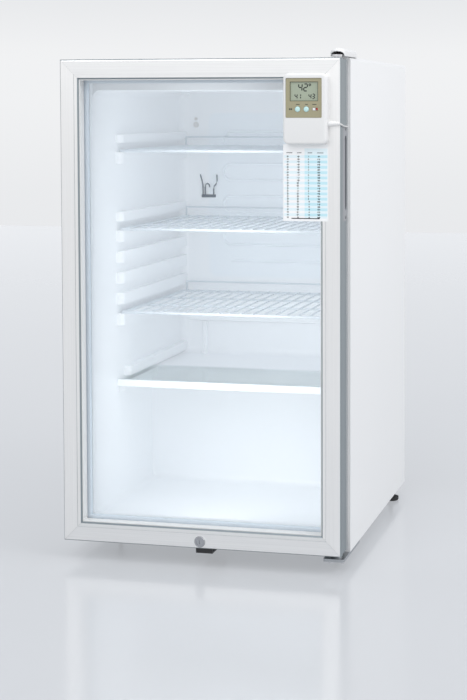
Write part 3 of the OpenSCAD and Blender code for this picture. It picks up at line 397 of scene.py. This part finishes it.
wearing = {
    "whiteEnamel": ["outer_wrap"],
    "linerPlastic": ["inner_liner", "inner_retainer", "drip_gutter", "drain_tube"],
    "coldPlate": ["evaporator_plate"],
    "whitePlastic": ["wall_plug", "thermostat_housing", "light_switch", "hinge_cover",
                     "thermometer_case", "mode_switch", "door_probe", "glazing_bead", "thermostat_knob"],
    "shelfTrim": ["glass_shelf_trim"],
    "hingeGrey": ["bottom_hinge_plate"],
    "coatedWire": ["wire_shelf_top", "wire_shelf_middle", "wire_shelf_bottom"],
    "zincSheet": ["back_panel", "base_pan"],
    "brightSteel": ["hinge_pins", "cabinet_screws", "top_hinge_plate"],
    "lockChrome": ["lock_housing", "lock_plug", "lock_cam"],
    "dullScrew": ["grip_screws"],
    # the lock strike also gets the black finish, which makes it dark beneath the lock
    "blackPaint": ["compressor", "condenser_coil", "lock_strike"],
    "blackPlastic": ["electrical_boxes", "evaporation_pan"],
    "rubberFoot": ["compressor_mounts", "foot_front_left", "foot_front_right",
                   "foot_rear_left", "foot_rear_right"],
    "dullCopper": ["refrigerant_pipes"],
    "foamBlock": ["foam_insulation"],
    "gasketRubber": ["door_gasket"],
    "bushNylon": ["hinge_bushes"],
    "gripPlastic": ["left_grip", "right_grip"],
    "spacerMetal": ["spacer_bar"],
    "clipPlastic": ["sensor_clip"],
    "lampLens": ["lamp_lens"],
    "bezelFilm": ["thermometer_bezel"],
    "displayGlass": ["thermometer_display"],
    "tealButton": ["button_left", "button_right"],
    "cardPaper": ["conversion_card"],
    "cableSheath": ["probe_cable"],
    "railMetal": ["door_top_rail", "door_bottom_rail"],
    "stileMetal": ["door_left_stile", "door_right_stile"],
    "paneGlass": ["glass_panes"],
    "shelfGlass": ["glass_shelf"],
}
for look, names in wearing.items():
    for n in names:
        nodes[n].data.materials.clear()
        nodes[n].data.materials.append(looks[look])
print("parts finished")

# thermometer on the door

caseLook = {"width": 74.3, "edge": 4.0, "corner": 9.0, "pocketCorner": 1.5, "pocketGap": 0.3,
            "bootLength": 19, "bootWide": 5.0, "bootThin": 2.6, "boot": (-0.2867, 0.758)}


def corners(x, z, r, n=10):
    # closed loop of a rectangle with round corners: a quarter circle of n points at each corner
    q = np.linspace(0, np.pi / 2, n)
    a = np.concatenate([q, q + np.pi / 2, q + np.pi, q + 1.5 * np.pi])
    cx = np.repeat([x[1] - r, x[0] + r, x[0] + r, x[1] - r], n)
    cz = np.repeat([z[1] - r, z[1] - r, z[0] + r, z[0] + r], n)
    return cx + r * np.cos(a), cz + r * np.sin(a)


def loopRings(loops, ys):
    # stacks loops of x and z at their own y into one array of rings
    return np.stack([np.stack([x, np.full_like(x, y), z], -1) for (x, z), y in zip(loops, ys)])


def thermometerShell(c):
    lo, hi = np.array(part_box("thermometer_case"))
    bezelLo, bezelHi = np.array(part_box("thermometer_bezel"))
    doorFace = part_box("conversion_card")[1][1]
    x, z = (lo[0], lo[0] + c["width"] * mm), (lo[2], hi[2])
    e, front = c["edge"] * mm, lo[1]
    a = np.linspace(0, np.pi / 2, 9)
    inset = e * (1 - np.cos(a))
    depth = front + e * (1 - np.sin(a))
    loops = [corners(x, z, c["corner"] * mm)] * 2
    ys = [doorFace, front + e + 0.002]
    loops += [corners((x[0] + d, x[1] - d), (z[0] + d, z[1] - d), c["corner"] * mm - d * 0.6) for d in inset]
    ys += list(depth)
    g = c["pocketGap"] * mm
    bx, bz = (bezelLo[0] - g, bezelHi[0] + g), (bezelLo[2] - g, bezelHi[2] + g)
    r = c["pocketCorner"] * mm
    loops += [corners(bx, bz, r + g)] * 2
    ys += [front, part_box("thermometer_display")[1][1] + 0.0002]
    rings = loopRings(loops, ys)
    n = rings.shape[1]
    faces = gridQuads(len(rings), n, loopCols=True).tolist()
    faces += [list(range((len(rings) - 1) * n, len(rings) * n)), list(range(n))[::-1]]
    shell = makePiece("thermometerShell", rings, faces, looks["whitePlastic"], "door")
    faceOutwards(shell)
    shell.modifiers.new("crisp", "EDGE_SPLIT").split_angle = radians(32)
    # ribbed sleeve where the cable leaves: radius falls from wide to thin with two shallow grooves
    t = np.linspace(0, 1, 46)
    radius = (c["bootWide"] + (c["bootThin"] - c["bootWide"]) * t ** 1.3) * mm
    radius -= 0.35 * mm * (np.cos(t * 22) > 0.55) * (t > 0.35) * (t < 0.92)
    radius[0] = radius[-1] = 0.6 * mm
    bootY, bootZ = c["boot"]
    along = x[1] - 0.003 + (c["bootLength"] + 3) * mm * t
    path = np.stack([along, np.full_like(t, bootY), np.full_like(t, bootZ)], -1)
    boot = tube("cableBoot", path, radius, 24, looks["whitePlastic"], "door")
    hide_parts("thermometer_case")


def faceOutwards(obj):
    # turns every face outwards, after equal points are merged
    import bmesh
    b = bmesh.new()
    b.from_mesh(obj.data)
    bmesh.ops.remove_doubles(b, verts=b.verts, dist=1e-7)
    bmesh.ops.recalc_face_normals(b, faces=b.faces)
    b.to_mesh(obj.data)
    b.free()


thermometerShell(caseLook)

segments = {"a": ((0, 2), (1, 2)), "b": ((1, 2), (1, 1)), "c": ((1, 1), (1, 0)), "d": ((0, 0), (1, 0)),
            "e": ((0, 1), (0, 0)), "f": ((0, 2), (0, 1)), "g": ((0, 1), (1, 1))}
figureParts = {"0": "abcdef", "1": "bc", "2": "abged", "3": "abgcd", "4": "fgbc", "5": "afgcd", "6": "afgedc",
               "7": "abc", "8": "abcdefg", "9": "abcdfg", "-": "g", "*": "abgf"}


def figureStrokes(text, x, z, height, stroke, slant=0.06):
    # start, end and half width of every lit bar; a cell is half as wide as it is high, and * is a degree mark
    starts, ends = [], []
    unit = height / 2
    for mark in text:
        if mark == ".":
            starts.append((x - 0.25 * unit, z))
            ends.append((x - 0.1 * unit, z))
            x += 0.28 * unit
            continue
        degree = mark == "*"
        small, lift, drop = (0.5, height - 0.5 * unit, 1) if degree else (1, 0, 0)
        for s in figureParts[mark]:
            (ax, az), (bx, bz) = segments[s]
            az, bz = az - drop, bz - drop
            starts.append((x + unit * small * (ax + slant * az), z + lift + unit * small * az))
            ends.append((x + unit * small * (bx + slant * bz), z + lift + unit * small * bz))
        x += unit * (0.9 if degree else 1.55)
    return np.array(starts), np.array(ends), np.full(len(starts), stroke)


def strokePlates(starts, ends, half, gap, front, thick):
    # a six-sided bar between each start and end, pointed at both ends, as a closed thin plate
    run = ends - starts
    length = np.linalg.norm(run, axis=1, keepdims=True)
    d = run / np.maximum(length, 1e-9)
    n = np.stack([-d[:, 1], d[:, 0]], -1)
    h = half[:, None]
    a, b = starts + d * gap, ends - d * gap
    outline = np.stack([a, a + d * h + n * h, b - d * h + n * h, b, b - d * h - n * h, a + d * h - n * h], 1)
    flat = np.stack([outline[..., 0], np.full(outline.shape[:2], front), outline[..., 1]], -1)
    back = flat + np.array([0, thick, 0])
    points = np.concatenate([flat, back], 1)
    k = np.arange(6)
    sides = np.stack([k, (k + 1) % 6, (k + 1) % 6 + 6, k + 6], -1)
    base = 12 * np.arange(len(starts))
    faces = (sides[None] + base[:, None, None]).reshape(-1, 4).tolist()
    faces += (k[::-1][None] + base[:, None]).tolist() + ((k + 6)[None] + base[:, None]).tolist()
    return points.reshape(-1, 3), faces


readout = {"now": "42", "low": "41", "high": "43", "nowHeight": 11.5, "smallHeight": 7.6, "ink": 0.95}


def thermometerReadout(r):
    lo, hi = np.array(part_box("thermometer_display"))
    w, h = hi[0] - lo[0], hi[2] - lo[2]
    front = lo[1] - 0.00012
    large, small = r["nowHeight"] * mm, r["smallHeight"] * mm
    bar, smallBar = r["ink"] * mm, 0.85 * r["ink"] * mm
    parts = [figureStrokes(r["now"] + "*", lo[0] + 0.30 * w, lo[2] + 0.52 * h, large, bar),
             figureStrokes(r["low"], lo[0] + 0.17 * w, lo[2] + 0.13 * h, small, smallBar),
             figureStrokes(r["high"], lo[0] + 0.66 * w, lo[2] + 0.13 * h, small, smallBar)]
    starts, ends, half = (np.concatenate(v) for v in zip(*parts))
    points, faces = strokePlates(starts, ends, half, 0.00022, front, 0.0001)
    ink = makePiece("readoutFigures", points, faces, looks["displayInk"], "door", smooth=False)
    faceOutwards(ink)
    # thin dark border round the window, and the small marks printed on the film
    bezelLo, bezelHi = np.array(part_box("thermometer_bezel"))
    y = bezelLo[1] - 0.00004
    cx, cz = (lo[0] + hi[0]) / 2, (lo[2] + hi[2]) / 2
    edge = 0.0008
    w2, h2 = w - 0.002, h - 0.002
    buttons = [np.mean(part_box(n), axis=0) for n in ("button_left", "button_right", "mode_switch")]
    centres = [(cx, y, cz + h2 / 2 + edge / 2), (cx, y, cz - h2 / 2 - edge / 2),
               (cx - w2 / 2 - edge / 2, y, cz), (cx + w2 / 2 + edge / 2, y, cz)]
    sizes = [(w2 + 2 * edge, 0.0001, edge)] * 2 + [(edge, 0.0001, h2)] * 2
    for b, wide in zip(buttons, (6.2, 4.4, 7.2)):
        centres.append((b[0] + 0.0005, y, b[2] + 0.0078))
        sizes.append((wide * mm, 0.0001, 0.0011))
    for dx in (-0.0014, 0.0014):
        centres.append((buttons[0][0] - 0.0118 + dx, y, buttons[0][2]))
        sizes.append((0.0021, 0.0001, 0.0028))
    points, faces = slabs(centres, sizes)
    marks = makePiece("filmMarks", points, faces, looks["filmInk"], "door", smooth=False)
    faceOutwards(marks)
    switch = buttons[2]
    points, faces = slabs([(switch[0] + 0.0045, switch[1] + 0.0002, switch[2])], [(0.0034, 0.002, 0.0034)])
    red = makePiece("switchMark", points, faces, looks["redMark"], "door", smooth=False)
    red.modifiers.new("round", "BEVEL").width = 0.0005


thermometerReadout(readout)

buttonLook = {"radius": 4.4, "dome": 1.2, "rings": 14, "sides": 40}


def buttonCap(name, node, b):
    # turned profile: straight side, rounded shoulder, then a shallow dome to the middle
    lo, hi = np.array(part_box(node))
    cx, cz = (lo[0] + hi[0]) / 2, (lo[2] + hi[2]) / 2
    a = np.linspace(0, np.pi / 2, b["rings"])
    inner = np.linspace(0.7, 0.002, 6)
    radius = np.concatenate([[1e-5, 1.0], np.cos(a) * 0.22 + 0.78, inner]) * b["radius"] * mm
    rise = np.concatenate([[0, 0], np.sin(a) * 0.5, 0.5 + 0.5 * (1 - inner ** 2)]) * b["dome"] * mm
    y = np.concatenate([[hi[1]] * 2, lo[1] + b["dome"] * mm - rise[2:]])
    t = np.linspace(0, 2 * np.pi, b["sides"], endpoint=False)
    rings = np.stack([cx + radius[:, None] * np.cos(t), np.repeat(y[:, None], b["sides"], 1),
                      cz + radius[:, None] * np.sin(t)], -1)
    n = len(rings)
    faces = gridQuads(n, b["sides"], loopCols=True).tolist()
    faces += [list(range(b["sides"])), list(range((n - 1) * b["sides"], n * b["sides"]))]
    cap = makePiece(name, rings, faces, looks["tealButton"], node)
    faceOutwards(cap)
    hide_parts(node)


buttonCap("buttonCapLeft", "button_left", buttonLook)
buttonCap("buttonCapRight", "button_right", buttonLook)
print("thermometer made")


# printed card

cardPrint = {"rows": 24, "pitch": 4.4, "top": 20.5, "figure": 1.8, "ink": 0.56,
             "firstWarm": 22, "firstCold": -7}


def printedCard(c):
    lo, hi = np.array(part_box("conversion_card"))
    y = lo[1]
    w = hi[0] - lo[0]
    rows = hi[2] - (c["top"] + c["pitch"] * np.arange(c["rows"])) * mm
    film = 0.00006
    middle = (hi[2] - 0.006 + lo[2] + 0.004) / 2
    tint = slabs([(lo[0] + 0.735 * w, y - 0.00004, middle)], [(0.51 * w, film, hi[2] - lo[2] - 0.012)])
    pale = makePiece("cardTint", *tint, looks["cardPale"], "door", smooth=False)
    band = rows[::2]
    one = np.ones_like(band)
    right = np.stack([one * (lo[0] + 0.735 * w), one * (y - 0.00009), band], -1)
    blue = makePiece("cardBands", *slabs(right, [(0.51 * w, film, c["pitch"] * mm)]),
                     looks["cardBlue"], "door", smooth=False)
    left = np.stack([one * (lo[0] + 0.25 * w), one * (y - 0.00005), band], -1)
    faint = makePiece("cardFaintBands", *slabs(left, [(0.46 * w, film, c["pitch"] * mm)]),
                      looks["cardPale"], "door", smooth=False)
    parts, tall = [], c["figure"] * mm
    for i, z in enumerate(rows):
        warm, cold = c["firstWarm"] + i, c["firstCold"] + i
        texts = (str(warm), "%.1f" % ((warm - 32) / 1.8), str(abs(cold)), "%.1f" % (32 + 1.8 * cold))
        for text, across in zip(texts, (0.085, 0.31, 0.56, 0.77)):
            parts.append(figureStrokes(text, lo[0] + across * w, z - 0.5 * tall, tall, c["ink"] * mm))
    starts, ends, half = (np.concatenate(v) for v in zip(*parts))
    points, faces = strokePlates(starts, ends, half, -0.00002, y - 0.00016, 0.00008)
    figures = makePiece("cardFigures", points, faces, looks["cardInk"], "door", smooth=False)
    faceOutwards(figures)
    heads = [(lo[0] + f * w, y - 0.00012, rows[0] + 0.0062) for f in (0.14, 0.36, 0.60, 0.83)]
    heads.append((lo[0] + 0.5 * w, y - 0.00012, lo[2] + 0.0045))
    wide = [(across, film, high) for across, high in
            ((0.010, 0.0010), (0.0075, 0.0010), (0.0075, 0.0010), (0.011, 0.0010), (0.048, 0.0015))]
    lines = makePiece("cardLines", *slabs(heads, wide), looks["cardInk"], "door", smooth=False)


printedCard(cardPrint)
print("card printed")


# cable of the door probe

cableLook = {"radius": 1.5, "sides": 16}
cabinetOrigin = (0, -0.2195, 0.025)
# out of the sleeve, round the edge of the door, back behind it and down to the probe,
# in mm from the cabinet's origin
cableRoute = [(238, -67.2, 733), (244, -67.2, 733), (246.6, -66.6, 732.6), (248.6, -64.8, 731.8),
              (249.2, -61, 730.6), (249.2, -50, 729), (249.2, -38, 728.2), (249.2, -25, 728),
              (249.2, -14.5, 728), (248.3, -11.8, 728), (246, -10.6, 728), (242, -10.5, 728),
              (234, -10.5, 728), (222, -10.5, 728), (211, -10.5, 728), (206.5, -12, 728),
              (203, -16, 727.5), (199.5, -20, 726), (197, -21.3, 723), (196, -21.5, 719)]


def probeCable(c, route):
    path = softRoute(np.array(route) * mm + np.array(cabinetOrigin))
    cable = tube("probeLead", path, c["radius"] * mm, c["sides"], looks["cableSheath"], "door")
    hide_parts("probe_cable")


probeCable(cableLook, cableRoute)


# cap over the top hinge

capLook = {"wall": 5.0, "shoulder": 9.0, "thick": 1.6, "mouthHeight": 8.5, "mouthHalf": 62}


def hingeCap(c):
    # long oval rings that shrink by d while the height follows a quarter ellipse
    # a mouth is left open in front
    lo, hi = np.array(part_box("hinge_cover"))
    r = (hi[0] - lo[0]) / 2
    cx, y0, y1, z0 = (lo[0] + hi[0]) / 2, lo[1] + r, hi[1] - r, lo[2]
    a = np.linspace(0, 2 * np.pi, 144, endpoint=False) + 0.001
    q = np.linspace(0, np.pi / 2, 14)
    s = c["shoulder"] * mm
    d = np.concatenate([np.zeros(9), s * (1 - np.cos(q)), s + (r - s) * np.linspace(0.1, 0.999, 10)])
    top = hi[2] - z0 - 0.0005
    wallTop = c["wall"] * mm
    z = np.concatenate([np.linspace(0, c["wall"], 9) * mm, wallTop + (top - wallTop) * np.sin(q),
                        top + 0.0005 * np.linspace(0.1, 1, 10)])
    ring = np.maximum(r - d, 2e-5)[:, None]
    x = cx + ring * np.cos(a)
    y = np.where(np.sin(a) < 0, y0, y1) + ring * np.sin(a)
    points = np.stack([x, y, np.repeat(z0 + z[:, None], len(a), 1)], -1)
    quads = gridQuads(len(d), len(a), loopCols=True)
    mid = points.reshape(-1, 3)[quads].mean(1)
    off = np.degrees(np.arctan2(mid[:, 0] - cx, y0 - mid[:, 1]))
    arch = c["mouthHeight"] * mm * np.sqrt(np.clip(1 - (off / c["mouthHalf"]) ** 2, 0, 1))
    keep = ~((mid[:, 1] < y0) & (np.abs(off) < c["mouthHalf"]) & (mid[:, 2] - z0 < arch))
    n = len(a)
    faces = quads[keep].tolist() + [list(range((len(d) - 1) * n, len(d) * n))]
    cap = makePiece("hingeCap", points, faces, looks["whitePlastic"], "cabinet")
    faceOutwards(cap)
    wall = cap.modifiers.new("wall", "SOLIDIFY")
    wall.thickness, wall.offset = c["thick"] * mm, -1
    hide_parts("hinge_cover")


hingeCap(capLook)
print("cable and hinge cap made")

addCamera(camera)
for lightName, light in studio.items():
    addLight(lightName, light)
addSurroundings(surroundings)
bpy.context.scene.view_settings.view_transform = "Standard"


def addFloor(f):
    # a flat grid of points at height 0
    t = np.linspace(-f["half"], f["half"], f["points"])
    x, y = np.meshgrid(t, t)
    mesh = bpy.data.meshes.new("paleFloor")
    points = np.stack([x, y, np.zeros_like(x)], -1).reshape(-1, 3)
    mesh.from_pydata(points.tolist(), [], gridQuads(f["points"], f["points"]).tolist())
    mesh.materials.append(finish("floorPaint", f["paint"]))
    obj = bpy.data.objects.new("paleFloor", mesh)
    bpy.context.scene.collection.objects.link(obj)


addFloor(floorLook)
print("studio set")
